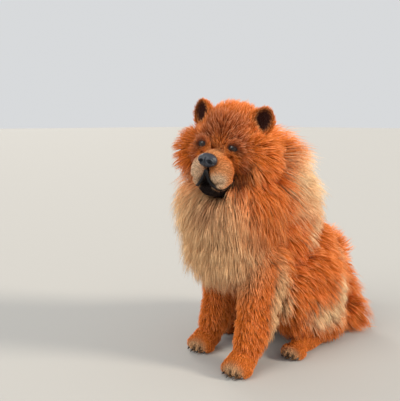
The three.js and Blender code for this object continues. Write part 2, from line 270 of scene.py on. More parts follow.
def marks_and_painted_light(look):
    """The coat's markings and its painted light, laid over each other in this order.

    Each has its middle, its three radii, its colour, how strong it is, and its frame.
    """
    body = Matrix()
    between_toes = (-1, 0, 1)
    return [
        ((0, -215, 330), (190, 140, 175), look.bib, 0.95, body),
        ((0, -225, 430), (140, 120, 70), look.bib, 0.9, body),
        ((-110, -200, 390), (100, 130, 150), look.bib, 0.85, body),
        # Painted light: a cream glow of the light from behind on the mane's outline
        ((180, -50, 535), (62, 62, 105), look.rim, 0.85, body),
        ((188, -45, 445), (66, 75, 100), look.rim, 0.85, body),
        ((165, 35, 355), (60, 36, 95), look.rim, 0.95, body),
        ((122, 22, 520), (90, 75, 115), look.rim, 0.85, body),
        ((112, 75, 425), (80, 62, 90), look.rim, 0.75, body),
        ((-165, 20, 352), (55, 40, 90), look.rim, 0.7, body),
        ((-130, 20, 500), (80, 80, 110), look.rim, 0.5, body),
        ((-170, -90, 490), (60, 110, 160), look.rim, 0.8, body),
        # The breeches' own cream
        ((188, 160, 168), (84, 72, 60), look.rim, 0.95, body),
        ((196, 88, 112), (70, 84, 52), look.rim, 0.9, body),
        ((192, 20, 110), (60, 50, 46), look.rim, 0.7, body),
        ((-190, 150, 150), (80, 80, 70), look.rim, 0.8, body),
        ((150, 340, 250), (80, 60, 60), look.rim, 0.6, body),
        ((120, 235, 280), (70, 70, 55), look.rim, 0.6, body),
        ((60, 350, 90), (90, 60, 70), look.rim, 0.5, body),
        ((142, -100, 160), (46, 44, 160), look.bib, 0.95, body),
        ((-95, -55, 160), (45, 36, 110), look.bib, 0.9, body),
        # Painted shade between the near foreleg and the chest
        ((60, -80, 150), (60, 50, 90), look.deep, 0.4, body),
        ((0, -50, 26), (84, 52, 48), look.deep, 0.75, HEAD),
        *[((s * 44, -66, -16), (34, 40, 26), look.deep, 0.8, HEAD) for s in SIDES],
        # Painted shade in the creases between the cheeks and the muzzle
        *[((s * 66, -50, -72), (16, 44, 54), look.deep, 0.8, HEAD) for s in SIDES],
        ((90, -70, -82), (24, 32, 34), look.muzzle, 0.75, HEAD),
        ((0, -100, -44), (32, 60, 26), look.muzzle, 0.9, HEAD),
        ((34, -108, -92), (36, 40, 46), look.muzzle, 0.9, HEAD),
        ((-30, -112, -92), (34, 36, 46), look.flew, 0.95, HEAD),
        ((30, -122, -110), (32, 34, 28), look.flew, 0.95, HEAD),
        # Black lips, with painted shade in the V between the flews and in the groove under the nose
        ((-3, -110, -118), (25, 34, 25), look.mouth, 1, HEAD),
        ((0, -118, -92), (8, 26, 26), look.mouth, 1, HEAD),
        # Painted shade under the chin
        ((0, -60, -170), (70, 60, 30), look.deep, 0.6, HEAD),
        *[((0, -2, 0), (31, 16, 42), look.ear, 1, at) for at in EARS],
        # Dark skin round the lids, with painted shade in the deep sockets of the eyes
        *[((0, -7, 0), (19, 16, 12), look.ear, 0.9, at) for at in EYES],
        *[((s * 14, -8, -10), (14, 14, 12), look.ear, 0.6, at) for s, at in zip(SIDES, EYES)],
        *[((0, -56, 14), (42, 32, 34), look.toe, 0.9, at) for at in FORE_FEET],
        *[((0, -100, 12), (38, 34, 30), look.toe, 0.9, at) for at in HIND_FEET],
        # Painted shade in the gaps between the toes
        *[
            ((k * FOREPAW["spread"], -62, 10), (5, 24, 22), look.mouth, 0.85, at)
            for at in FORE_FEET for k in between_toes
        ],
        *[
            ((k * HINDPAW["spread"], -108, 10), (4.5, 24, 20), look.mouth, 0.85, at)
            for at in HIND_FEET for k in between_toes
        ],
    ]


def colour_with_painted_light(points, look, jaw):
    """The coat's colour at each point of its outer surface, with its painted light, and dark where it grows
    from the jaw: black lips, and painted shade under the flews.
    """
    colour = np.tile(np.array(look.coat), (len(points), 1))
    for middle, radii, laid_colour, strength, at in marks_and_painted_light(look):
        away = length_of((within(points, at) - np.array(middle)) / np.array(radii))
        cover = strength * (1 - smooth(away, 0.45, 1.15))
        colour = colour * (1 - cover) + np.array(laid_colour) * cover
    # Black lips, and painted shade under the overhanging flews
    dark = smooth(jaw, 0.2, 0.55)[:, None]
    return colour * (1 - dark) + np.array(look.mouth) * dark


# Shader recipes

class Wire:
    """A socket, with the sums that a maker writes on it as Math nodes."""

    def __init__(self, recipe, socket):
        self.recipe, self.socket = recipe, socket

    def sum(self, operation, first, second):
        node = self.recipe.node("ShaderNodeMath", {"operation": operation}, {0: first, 1: second})
        return Wire(self.recipe, node.outputs[0])

    def __add__(self, other):
        return self.sum("ADD", self, other)

    def __sub__(self, other):
        return self.sum("SUBTRACT", self, other)

    def __rsub__(self, other):
        return self.sum("SUBTRACT", other, self)

    def __mul__(self, other):
        return self.sum("MULTIPLY", self, other)

    __radd__ = __add__
    __rmul__ = __mul__


class Recipe:
    """A material with a Principled shader, and the nodes that feed it."""

    def __init__(self, name, settings):
        self.material = bpy.data.materials.new(name)
        self.material.use_nodes = True
        self.tree = self.material.node_tree
        self.shader = self.tree.nodes["Principled BSDF"]
        self.feed(self.shader, settings)

    def feed(self, node, values):
        for key, value in values.items():
            socket = node.inputs[key]
            if isinstance(value, Wire):
                self.tree.links.new(value.socket, socket)
            else:
                socket.default_value = value

    def node(self, kind, settings, values=None):
        """A node with its settings, or a ramp's stops, set first, and then its inputs."""
        node = self.tree.nodes.new(kind)
        for key, value in settings.items():
            if key == "stops":
                ramp = node.color_ramp.elements
                while len(ramp) < len(value):
                    ramp.new(0.5)
                for element, (place, colour) in zip(ramp, value):
                    element.position, element.color = place, colour
            else:
                setattr(node, key, value)
        self.feed(node, values or {})
        return node

    def wire(self, kind, settings, values=None, out=0):
        return Wire(self, self.node(kind, settings, values).outputs[out])

    def attribute(self, name, out):
        return self.wire("ShaderNodeAttribute", {"attribute_name": name}, out=out)

    def place(self):
        return self.wire("ShaderNodeTexCoord", {}, out="Object")

    def noise(self, scale, detail=3):
        values = {"Vector": self.place(), "Scale": scale, "Detail": detail}
        return self.wire("ShaderNodeTexNoise", {}, values)

    def blend(self, amount, first, second, how="MIX"):
        """One colour mixed into another."""
        settings = {"data_type": "RGBA", "blend_type": how}
        return self.wire("ShaderNodeMix", settings, {0: amount, 6: first, 7: second}, out=2)

    def lit(self, colour, light):
        """A colour made darker or lighter by a number that varies over the surface."""
        level = self.wire("ShaderNodeCombineColor", {}, {0: light, 1: light, 2: light})
        return self.blend(1.0, colour, level, "MULTIPLY")

    def bump(self, height, strength, depth):
        values = {"Height": height, "Strength": strength, "Distance": depth}
        return self.wire("ShaderNodeBump", {}, values)


def grey(level):
    return (level, level, level, 1)


def coat_material(name, tips):
    """Fur: darker at the root as painted shade under the other tufts, paler at the tip, and a little
    different from strand to strand.
    """
    recipe = Recipe(name, {"Specular IOR Level": 0.1, "Sheen Weight": 0.04, "Sheen Roughness": 0.4})
    tint = recipe.attribute("coat_tint", "Color")
    along = recipe.attribute("along", "Fac")
    strand = recipe.attribute("strand", "Fac")
    # Painted shade: darker at the root, where the tufts over it shade it; the strand's share is a tone that
    # differs at random
    light = (along * 0.5 + 0.62) * (strand * 0.45 + 0.78)
    tipped = recipe.blend(along * along * strand * 0.36, tint, (*tips, 1))
    recipe.feed(recipe.shader, {
        "Base Color": recipe.lit(tipped, light),
        "Roughness": strand * 0.25 + 0.5,
    })
    return recipe.material


def skin_material(name):
    """Short dense undercoat: the coat's own markings, darkened as painted shade under the tufts, with fine
    streaks.
    """
    recipe = Recipe(name, {"Specular IOR Level": 0.2})
    tint = recipe.attribute("coat_tint", "Color")
    streaks = recipe.noise(420, 4)
    recipe.feed(recipe.shader, {
        # Painted shade: the markings made darker to stand for the shade under the coat, with streaks of
        # random tone
        "Base Color": recipe.lit(tint, streaks * 0.5 + 0.22),
        "Roughness": streaks * 0.2 + 0.65,
        "Normal": recipe.bump(streaks, 0.5, 0.002),
    })
    return recipe.material


def leather_material(name, colour, rough, grain, depth, shine=0.5):
    """Bare skin of the nose, the lips and the lids: fine pebbles, paler in noisy patches towards their
    edges.
    """
    recipe = Recipe(name, {"Specular IOR Level": shine})
    cells = {"Vector": recipe.place(), "Scale": grain}
    pebbles = recipe.wire("ShaderNodeTexVoronoi", {"feature": "F1"}, cells)
    paler_edges = recipe.noise(60) * pebbles * 1.3
    pale = [min(1, part * 1.8 + 0.004) for part in colour]
    recipe.feed(recipe.shader, {
        "Base Color": recipe.blend(paler_edges, (*colour, 1), (*pale, 1)),
        "Roughness": pebbles * 0.2 + rough,
        "Normal": recipe.bump(1 - pebbles, 0.5, depth),
    })
    return recipe.material


def eye_material(name, iris):
    """A dark brown iris round a black pupil, under a wet surface."""
    recipe = Recipe(name, {"Specular IOR Level": 0.2, "Coat Weight": 0.5, "Coat Roughness": 0.03})
    pupil, edge = grey(0.003), grey(0.006)
    stops = [(0.0, pupil), (0.36, pupil), (0.42, (*iris, 1)), (0.78, (*iris, 1)), (0.86, edge)]
    ring = recipe.attribute("ring", "Fac")
    rays = recipe.noise(900, 2)
    bands = recipe.wire("ShaderNodeValToRGB", {"stops": stops}, {"Fac": ring})
    recipe.feed(recipe.shader, {
        "Base Color": recipe.blend(rays * 0.4, bands, grey(0.004)),
        "Roughness": rays * 0.05 + 0.05,
    })
    return recipe.material


def claw_material(name, colour):
    """Horn, mottled with a paler grey, with a fine rough grain."""
    recipe = Recipe(name, {"Specular IOR Level": 0.5})
    grain = recipe.noise(300)
    recipe.feed(recipe.shader, {
        "Base Color": recipe.blend(grain, (*colour, 1), grey(0.05)),
        "Roughness": grain * 0.2 + 0.3,
        "Normal": recipe.bump(grain, 0.3, 0.0006),
    })
    return recipe.material


# Meshes

def finished(mesh, material, replaced=()):
    """A piece with the mesh's name that rides on the body, and may stand for solids."""
    mesh.materials.append(material)
    mesh.shade_smooth()
    piece = bpy.data.objects.new(mesh.name, mesh)
    bpy.context.scene.collection.objects.link(piece)
    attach(piece, BODY)
    if replaced:
        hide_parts(*replaced)


def mesh_of(bm, name):
    bmesh.ops.recalc_face_normals(bm, faces=bm.faces)
    mesh = bpy.data.meshes.new(name)
    bm.to_mesh(mesh)
    bm.free()
    return mesh


def applied(shape):
    """The mesh that a curve or a modifier makes, as a bmesh. The object itself goes."""
    bpy.context.scene.collection.objects.link(shape)
    mesh = bpy.data.meshes.new_from_object(shape.evaluated_get(bpy.context.evaluated_depsgraph_get()))
    bpy.data.objects.remove(shape)
    bm = bmesh.new()
    bm.from_mesh(mesh)
    bpy.data.meshes.remove(mesh)
    return bm


def points_of(mesh):
    """The mesh's points and their normals, in the dog's own millimetres."""
    count = len(mesh.vertices)
    places, normals = np.empty(count * 3), np.empty(count * 3)
    mesh.vertices.foreach_get("co", places)
    mesh.vertex_normals.foreach_get("vector", normals)
    points = places.reshape(-1, 3) / MM
    points[:, 1] -= MIDDLE_Y
    return points, normals.reshape(-1, 3)


def in_metres(points):
    """The dog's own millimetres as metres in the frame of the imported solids."""
    moved = points.copy()
    moved[..., 1] += MIDDLE_Y
    return moved * MM


def put_value(mesh, name, values):
    held = mesh.attributes.new(name, "FLOAT", "POINT")
    held.data.foreach_set("value", np.asarray(values, dtype=np.float32).ravel())


def put_colour(mesh, name, colours):
    full = np.ones((len(colours), 4), dtype=np.float32)
    full[:, :3] = colours
    held = mesh.attributes.new(name, "FLOAT_COLOR", "POINT")
    held.data.foreach_set("color", full.ravel())


# Skin

HEAD_FROM, HEAD_TO = 0.44, 0.62  # heights in metres between which the skin is smoothed more
OPENING = (11, 6.2)  # half the width and height of the eye's opening


def eye_frames():
    """Each eyeball's frame: its middle is the solid's, and -y looks ahead and outwards."""
    frames = []
    for side, word in zip(SIDES, SIDE_WORDS):
        low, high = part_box(f"eye_{word}")
        at = HEAD.copy()
        at.translation = (low + high) / 2 / MM
        at.translation.y -= MIDDLE_Y
        frames.append(placed((0, 0, 0), (0, 0, side * EYE_SPLAY), at))
    return frames


EYES = eye_frames()
LIDS = [placed((0, 0, 0), (0, side * LID_SLANT, 0), at) for side, at in zip(SIDES, EYES)]


def ear_flesh(bm, at):
    """A thick rounded triangle with a deep bowl in its front."""
    wide, thick, tall, bowl_depth = 33, 14, 40, 19.2
    made = bmesh.ops.create_uvsphere(bm, u_segments=40, v_segments=26, radius=1)
    for vert in made["verts"]:
        x, y, z = vert.co
        narrow = 1 - 0.2 * z - 0.06 * z * z
        across = (x / 0.82) ** 2 + ((z + 0.02) / 0.86) ** 2
        bowl = bowl_depth * max(0, 1 - across) ** 0.5 if y < 0 else 0
        vert.co = at @ Vector((x * wide * narrow, 2 + y * thick * narrow + bowl, z * tall * (1 - 0.06 * z)))


def lid_flesh(bm, at):
    """Swollen skin round the eyeball, that the eye's opening is sunk into."""
    ball = at @ Matrix.Diagonal((EYE_RADIUS + 12, EYE_RADIUS - 1.5, EYE_RADIUS + 9, 1))
    bmesh.ops.create_icosphere(bm, subdivisions=4, radius=1, matrix=ball)


def flesh():
    """All forms, ears and lids, as closed bodies that run into each other."""
    bm = bmesh.new()
    for one in FORMS:
        if one.part != "ear":
            shape = one.frame @ Matrix.Diagonal((*one.radii, 1))
            bmesh.ops.create_icosphere(bm, subdivisions=4, radius=1, matrix=shape)
    for at in EARS:
        ear_flesh(bm, at)
    for at in EYES:
        lid_flesh(bm, at)
    bmesh.ops.transform(bm, matrix=TO_METRES, verts=bm.verts)
    return mesh_of(bm, "flesh")


def soften(bm, verts, rounds):
    """Evens out the steps that the remesh leaves."""
    every_way = dict(use_axis_x=True, use_axis_y=True, use_axis_z=True)
    for _ in range(rounds):
        bmesh.ops.smooth_vert(bm, verts=verts, factor=0.5, **every_way)


def sink_eyes(points):
    """Opens the lids: points inside a slanted almond go behind the eyeball's front."""
    for at in LIDS:
        inside = within(points, at)
        almond = np.hypot(inside[:, 0] / OPENING[0], inside[:, 2] / OPENING[1])
        open_by = (1 - smooth(almond, 0.75, 1.1)) * (inside[:, 1] < 2)
        behind = -np.minimum(np.abs(inside[:, 1]), 4)
        inside[:, 1] += (behind - inside[:, 1]) * open_by
        points = outside(inside, at)
    return points


def crease_mouth(points):
    """A groove down from the nose, and the slit of the mouth under the flews."""
    inside = within(points, HEAD)
    aside, ahead, below = np.abs(inside[:, 0]), -inside[:, 1], -inside[:, 2]
    groove = (1 - smooth(aside, 1, 7)) * smooth(ahead, 100, 116)
    groove *= smooth(below, 60, 74) * (1 - smooth(below, 112, 124))
    slit = (1 - smooth(np.abs(122 - below - 0.25 * aside), 2, 8)) * smooth(ahead, 60, 80)
    inside[:, 1] += 7 * groove + 9 * slit
    return outside(inside, HEAD)


def build_skin(look, sizes):
    """One closed skin of all the forms, ears and lids, with no seam between them."""
    rough = bpy.data.objects.new("rough", flesh())
    remesh = rough.modifiers.new("Remesh", "REMESH")
    remesh.mode, remesh.voxel_size = "VOXEL", sizes.skin_step * MM
    bm = applied(rough)
    soften(bm, bm.verts, 4)
    soften(bm, [vert for vert in bm.verts if HEAD_FROM < vert.co.z < HEAD_TO], 8)
    mesh = mesh_of(bm, "skin")

    points, _normals = points_of(mesh)
    points = crease_mouth(sink_eyes(points))
    points[:, 2] = np.maximum(points[:, 2], 0.3)
    mesh.vertices.foreach_set("co", in_metres(points).ravel())
    mesh.update()

    points, normals = points_of(mesh)
    weight, _nearest = shares(points)
    outer = points + normals * depth_at(points, weight)[:, None] * TINTED_AT
    put_colour(mesh, "coat_tint", colour_with_painted_light(outer, look, weight[:, JAW]))
    return mesh


# Coat

# For each part: the gap between roots, a tuft's width, its length beyond the coat's depth,
# its lift off the skin, and how far its way strays
Growth = namedtuple("Growth", "gap width extra lift stray")
GROWTH = {
    "face": Growth(2.2, 1.25, 5, 0.8, 0.10),
    "skull": Growth(2.9, 1.8, 16, 1.05, 0.16),
    "ear": Growth(2.3, 1.4, 4, 1.0, 0.2),
    "mane": Growth(2.75, 2.1, 24, 1.04, 0.16),
    "chest": Growth(2.75, 2.1, 28, 0.98, 0.16),
    "torso": Growth(4.0, 2.6, 18, 0.95, 0.13),
    "thigh": Growth(3.6, 2.3, 18, 0.92, 0.13),
    "tail": Growth(2.9, 2.2, 22, 1.0, 0.18),
    "leg": Growth(3.2, 1.9, 10, 0.95, 0.12),
    "paw": Growth(3.2, 1.6, 2.5, 0.8, 0.08),
}
PART_OF_FORM = np.array([one.part for one in FORMS])
GROWTH_OF_FORM = np.array([GROWTH[one.part] for one in FORMS])
SLOTS = dict.fromkeys(PARTS, "orange_coat") | dict.fromkeys(("face", "skull", "ear"), "red_coat")
SLOTS["paw"] = "tan_coat"

STEPS = np.array([0.0, 0.34, 0.7, 1.0])  # places of a tuft's rings along it, and of its tip
THICKNESS = np.array([1.0, 0.95, 0.6])  # of each ring, as a share of the tuft's width
CORNERS = np.radians([90, 210, 330])
POINTS_OF_TUFT = len(THICKNESS) * len(CORNERS) + 1
LOCK_OF, LOCK_REACH = 16, 26  # tufts drawn into one lock, and the mm over which they are

PATCH = 0.003  # side of a tuft's patch on the bake map
TILE_EDGE = 0.05  # share of a form's tile on that map that stays bare on each side
MOST_TUFTS = 12000  # in one piece
WIDEST, FLARE = 188, 14  # half width past which tips are pressed in, and how far past it they may go
SOLE = 1.5  # height under which no tuft grows
LOWEST = 0.6  # height of the lowest point of any tuft
BALD_BOWL = 0.85  # share of the tufts that the bowl of an ear goes without
SEED = 7


def scatter(mesh, sizes, rng):
    """Roots on the skin: each triangle gets as many as its part's gap asks for."""
    mesh.calc_loop_triangles()
    count = len(mesh.loop_triangles)
    corners = np.empty(count * 3, dtype=np.int32)
    mesh.loop_triangles.foreach_get("vertices", corners)
    corners = corners.reshape(-1, 3)
    points, normals = points_of(mesh)
    a, b, c = (points[corners[:, k]] for k in range(3))
    area = np.linalg.norm(np.cross(b - a, c - a), axis=1) / 2
    _weight, nearest = shares((a + b + c) / 3)
    gaps = GROWTH_OF_FORM[nearest, 0]
    expected = area / (gaps * sizes.spacing) ** 2
    tufts = np.floor(expected + rng.random(count)).astype(int)
    chosen = np.repeat(np.arange(count), tufts)
    u, v = rng.random(len(chosen)), rng.random(len(chosen))
    folded = u + v > 1
    u[folded], v[folded] = 1 - u[folded], 1 - v[folded]
    mix = np.stack([1 - u - v, u, v], axis=1)[..., None]
    roots = (points[corners[chosen]] * mix).sum(axis=1)
    outward = unit((normals[corners[chosen]] * mix).sum(axis=1))
    return roots, outward


def lying(roots, outward, weight):
    """The way that the coat lies at each root, along the skin. It parts from the face's middle."""
    lies = weight @ np.array([np.array(one.lie) for one in FORMS])
    along = unit(lies - outward * (lies * outward).sum(axis=1, keepdims=True))
    inside = within(roots, HEAD)
    aside, above = np.sign(inside[:, 0]) * 0.9, inside[:, 2] * 0.004
    away = np.stack([aside, np.zeros(len(roots)), above], axis=1)
    ahead = -inside[:, 1]
    face = smooth(ahead, 20, 60) * (1 - smooth(ahead, 60, 90))
    return unit(along + turned_by(away, HEAD) * face[:, None] * 0.5)


def centre_lines(roots, outward, along, depth, length, lift):
    """The line that each tuft grows along: out of the skin first, then along the body."""
    s = STEPS[None, :, None]
    out = 1 - (1 - s) ** 2
    rise = outward[:, None] * (depth * lift)[:, None, None] * out
    run = along[:, None] * length[:, None, None] * s**1.6
    return roots[:, None] + rise + run


def clumped(lines, roots, rng, pull):
    """Draws the tips of neighbouring tufts together into locks."""
    wanted = max(1, len(roots) // LOCK_OF)
    leaders = rng.choice(len(roots), wanted, replace=False)
    tree = KDTree(wanted)
    for i, leader in enumerate(leaders):
        tree.insert(roots[leader], i)
    tree.balance()
    mine = np.array([leaders[tree.find(root)[1]] for root in roots])
    near = np.linalg.norm(roots[mine] - roots, axis=1) < LOCK_REACH
    draw = (STEPS**1.3)[None, :, None] * (pull * near)[:, None, None]
    return lines + (lines[mine] - lines) * draw


def tuft_points(lines, outward, widths):
    """Three rings of three corners and a tip for each tuft."""
    tangent = unit(np.gradient(lines, axis=1))
    side = unit(np.cross(tangent, outward[:, None]))
    up = np.cross(side, tangent)
    rings = []
    for k, share in enumerate(THICKNESS):
        for angle in CORNERS:
            across = side[:, k] * math.cos(angle) + up[:, k] * math.sin(angle) * 0.6
            rings.append(lines[:, k] + across * (widths * share / 2)[:, None])
    return np.stack([*rings, lines[:, -1]], axis=1)


def tuft_faces():
    """A tuft's triangles: its foot, its sides and its point."""
    faces = [(2, 1, 0)]
    for ring in (0, 3):
        for k in range(3):
            a, b = ring + k, ring + (k + 1) % 3
            faces += [(a, b, b + 3), (a, b + 3, a + 3)]
    faces += [(6 + k, 6 + (k + 1) % 3, 9) for k in range(3)]
    return np.array(faces)


TUFT_FACES = tuft_faces()


def bake_places(roots, nearest):
    """Each root's place on an unwrap of the skin: a tile for each form, by angles round it."""
    tiles = math.ceil(math.sqrt(len(FORMS)))
    places = np.empty((len(roots), 2))
    for i, one in enumerate(FORMS):
        mine = nearest == i
        inside = unit(within(roots[mine], one.frame) / np.array(one.radii))
        round_it = np.arctan2(inside[:, 1], inside[:, 0]) / (2 * math.pi) + 0.5
        height = np.arcsin(np.clip(inside[:, 2], -1, 1)) / math.pi + 0.5
        tile = np.array([i % tiles, i // tiles])
        spot = np.stack([round_it, height], axis=1) * (1 - 2 * TILE_EDGE)
        places[mine] = (tile + TILE_EDGE + spot) / tiles
    return places


def coat_piece(name, points, tint, strand, places):
    """The mesh of many tufts, from arrays."""
    count = len(points)
    ring = np.repeat([0, 1, 2], 3)
    along = np.append(STEPS[ring], 1.0)
    corner = np.append(np.tile([0, 0.5, 1], 3), 0.5)
    first = POINTS_OF_TUFT * np.arange(count)
    faces = (TUFT_FACES[None] + first[:, None, None]).reshape(-1, 3)
    mesh = bpy.data.meshes.new(name)
    mesh.vertices.add(count * POINTS_OF_TUFT)
    mesh.vertices.foreach_set("co", in_metres(points).astype(np.float32).ravel())
    mesh.loops.add(faces.size)
    mesh.loops.foreach_set("vertex_index", faces.ravel().astype(np.int32))
    mesh.polygons.add(len(faces))
    mesh.polygons.foreach_set("loop_start", np.arange(0, faces.size, 3, dtype=np.int32))
    mesh.update(calc_edges=True)
    put_colour(mesh, "coat_tint", np.repeat(tint, POINTS_OF_TUFT, axis=0))
    put_value(mesh, "along", np.tile(along, count))
    put_value(mesh, "strand", np.repeat(strand, POINTS_OF_TUFT))
    patch = np.stack([corner - 0.5, along - 0.5], axis=1) * PATCH
    uv = (places[:, None] + patch[None]).reshape(-1, 2)[faces.ravel()]
    mesh.uv_layers.new(name="OFBake").data.foreach_set("uv", uv.astype(np.float32).ravel())
    return mesh


def clear_of_face(lines):
    """Whether a tuft leaves the eyes and the nose open."""
    clear = np.ones(len(lines), dtype=bool)
    for at in LIDS:
        inside = within(lines, at)
        over = np.hypot(inside[..., 0] / (OPENING[0] + 0.5), inside[..., 2] / (OPENING[1] + 0.4)) < 1
        clear &= ~(over & (inside[..., 1] < 6)).any(axis=1)
    room = np.array((26, 19, 19))  # radii of what stays bare round the nose
    from_nose = (within(lines, HEAD) - np.array(NOSE_AT)) / room
    clear &= ~(np.linalg.norm(from_nose, axis=-1) < 1).any(axis=1)
    return clear


def clear_of_bowls(roots, rng):
    """Whether a tuft stays: most of those in the bowls of the ears go."""
    clear = np.ones(len(roots), dtype=bool)
    for at in EARS:
        x, y, z = within(roots, at).T
        bowl = (np.hypot(x / 27, z / 35) < 0.85) & (y > -14) & (y < 10)
        clear &= ~(bowl & (rng.random(len(roots)) < BALD_BOWL))
    return clear


def coat_depth(roots, outward, weight, part):
    """The coat's depth at each root: feathered behind the forelegs, and short on the face."""
    rear = np.clip(outward[:, 1], 0, 1)
    feathered = 1 + 1.9 * rear * (part == "leg") * smooth(roots[:, 2], 20, 90)
    return depth_at(roots, weight) * feathered * (1 - 0.5 * (part == "face"))


def kept_in(lines):
    """Tips that stand wide of the solids are pressed closer to them."""
    over = np.maximum(np.abs(lines[..., 0]) - WIDEST, 0)
    lines[..., 0] -= np.sign(lines[..., 0]) * (over - FLARE * (1 - np.exp(-over / FLARE)))
    return lines


def grown_lines(roots, outward, weight, depth, rng):
    """The line of each tuft, from its root to its tip."""
    count = len(roots)
    _gap, _width, extra, lift, stray = (weight @ GROWTH_OF_FORM).T
    along = lying(roots, outward, weight)
    along = unit(along + rng.normal(size=(count, 3)) * stray[:, None])
    upward = unit(outward + rng.normal(size=(count, 3)) * stray[:, None] * 0.6)
    layer = 0.4 + 0.6 * rng.random(count) ** 0.5
    length = (depth * 0.75 + extra) * (0.6 + 0.4 * layer) * (0.85 + 0.3 * rng.random(count))
    lines = centre_lines(roots, upward, along, depth, length, lift * layer)
    lines = clumped(lines, roots, rng, 0.2 + 0.3 * smooth(depth, 12, 40))
    lines[..., 2] = np.maximum(lines[..., 2], 1.0 + rng.random(count)[:, None] * 2)
    return kept_in(lines)


def grow_coat(skin, look, sizes):
    """All tufts of the coat, in pieces by part of the body."""
    rng = np.random.default_rng(SEED)
    roots, outward = scatter(skin, sizes, rng)
    above = roots[:, 2] > SOLE
    roots, outward = roots[above], outward[above]
    count = len(roots)
    weight, nearest = shares(roots)
    part = PART_OF_FORM[nearest]
    depth = coat_depth(roots, outward, weight, part)
    lines = grown_lines(roots, outward, weight, depth, rng)
    keep = clear_of_face(lines) & clear_of_bowls(roots, rng)

    width = (weight @ GROWTH_OF_FORM)[:, 1]
    widths = width * (0.75 + 0.5 * rng.random(count)) * sizes.thickness
    points = tuft_points(lines, outward, widths)
    points[..., 2] = np.maximum(points[..., 2], LOWEST)

    strewn = rng.normal(size=(count, 3)) * (1 + 7 * smooth(depth, 6, 40))[:, None]
    tint = colour_with_painted_light(roots + outward * depth[:, None] * TINTED_AT + strewn, look, weight[:, JAW])
    strand = rng.random(count) * smooth(tint.mean(axis=1), 0.03, 0.16)
    places = bake_places(roots, nearest)

    material = coat_material("fur", look.rim)
    for name in PARTS:
        mine = np.flatnonzero(keep & (part == name))
        for k, some in enumerate(np.array_split(mine, math.ceil(len(mine) / MOST_TUFTS))):
            mesh = coat_piece(f"coat_{name}_{k + 1}", points[some], tint[some], strand[some], places[some])
            finished(mesh, material)


# Face

RING_ANGLE = 52  # degrees off the eye's axis at which ring is 1
NOSTRIL_X = 11.5  # from the nose's middle to the middle of a nostril
LIP_POINTS = (  # along the edge of a flew, from its corner to the nose, in the head's frame
    (46, -54, -108), (43, -80, -126), (33, -100, -133), (19, -119, -124), (6, -128, -104), (0, -130, -84),
)
LIP_RADIUS = 3.8


def build_eye(word, at):
    """A dense eyeball, with the angle off its axis kept for the iris."""
    bm = bmesh.new()
    bmesh.ops.create_icosphere(bm, subdivisions=5, radius=EYE_RADIUS - 0.5, matrix=TO_METRES @ at)
    mesh = mesh_of(bm, f"eyeball_{word}")
    points, _normals = points_of(mesh)
    inside = within(points, at)
    ring = np.arctan2(np.hypot(inside[:, 0], inside[:, 2]), -inside[:, 1]) / math.radians(RING_ANGLE)
    put_value(mesh, "ring", np.clip(ring, 0, 1))
    return mesh


def build_lids(word, at):
    """An almond rim round the eye, thicker above it than below."""
    bm = bmesh.new()
    made = bmesh.ops.create_circle(bm, segments=10, radius=1.7, matrix=placed((9.2, 0, 0)))
    bmesh.ops.spin(
        bm, geom=made["verts"] + list(bm.edges), cent=(0, 0, 0), axis=(0, 0, 1), steps=48,
        angle=math.tau, use_merge=True,
    )
    for vert in bm.verts:
        x, y, z = vert.co
        pinch, thick = (0.6, 1.25) if y > 0 else (0.56, 0.9)
        bend = 0.028 * x * x
        vert.co = Vector((x * 1.24, bend - z * thick - 1.5, y * pinch))
    bmesh.ops.transform(bm, matrix=TO_METRES @ placed((0, -7.5, 0), frame_of=at), verts=bm.verts)
    return mesh_of(bm, f"lids_{word}")


def nose_depth(x, z):
    """How far the front of the nose goes in: two comma nostrils with raised rims, and a groove."""
    depth = 0
    for side in SIDES:
        dx = x * side - NOSTRIL_X
        dz = z + 1.5 + 0.25 * dx
        hole = math.exp(-((dx / 5.4) ** 2 + (dz / 4.2) ** 2) ** 1.6)
        slit = math.exp(-(((dx - 6.5) / 6.5) ** 2 + ((dz + 2.2) / 2.3) ** 2) ** 1.4)
        rim = math.exp(-(((dx / 8.2) ** 2 + (dz / 6.8) ** 2) - 1) ** 2 / 0.18)
        depth += 10 * hole + 5 * slit * (1 - hole) - 1.3 * rim
    fades = math.exp(-(((z - 6) / 4) ** 2)) if z > 6 else 1
    return depth + 2.6 * math.exp(-((x / 1.5) ** 2)) * fades


def build_nose():
    """A broad leather pad, wider at its top."""
    wide, deep, tall, arch = 25, 17, 17.5, 1.2
    bm = bmesh.new()
    bmesh.ops.create_icosphere(bm, subdivisions=6, radius=1)
    for vert in bm.verts:
        x, y, z = vert.co
        vert.co = (x * wide * (1 + 0.1 * z), y * deep, z * tall + arch * (1 - x * x))
        if vert.co.y < 4:
            vert.co.y += nose_depth(vert.co.x, vert.co.z)
    bmesh.ops.transform(bm, matrix=TO_METRES @ placed(NOSE_AT, frame_of=HEAD), verts=bm.verts)
    return mesh_of(bm, "nose_pad")


def build_lip(word, side):
    """A soft dark roll along the edge of a flew, up to the groove under the nose."""
    name = f"lip_{word}"
    curve = bpy.data.curves.new(name, "CURVE")
    curve.dimensions, curve.resolution_u = "3D", 6
    curve.bevel_depth, curve.bevel_resolution, curve.use_fill_caps = LIP_RADIUS * MM, 5, True
    line = curve.splines.new("NURBS")
    line.points.add(len(LIP_POINTS) - 1)
    line.use_endpoint_u, line.order_u = True, 4
    for point, (x, y, z) in zip(line.points, LIP_POINTS):
        point.co = (*(TO_METRES @ HEAD @ Vector((side * x, y, z))), 1)
    bm = applied(bpy.data.objects.new(name, curve))
    bmesh.ops.remove_doubles(bm, verts=bm.verts, dist=1e-6)
    return mesh_of(bm, name)


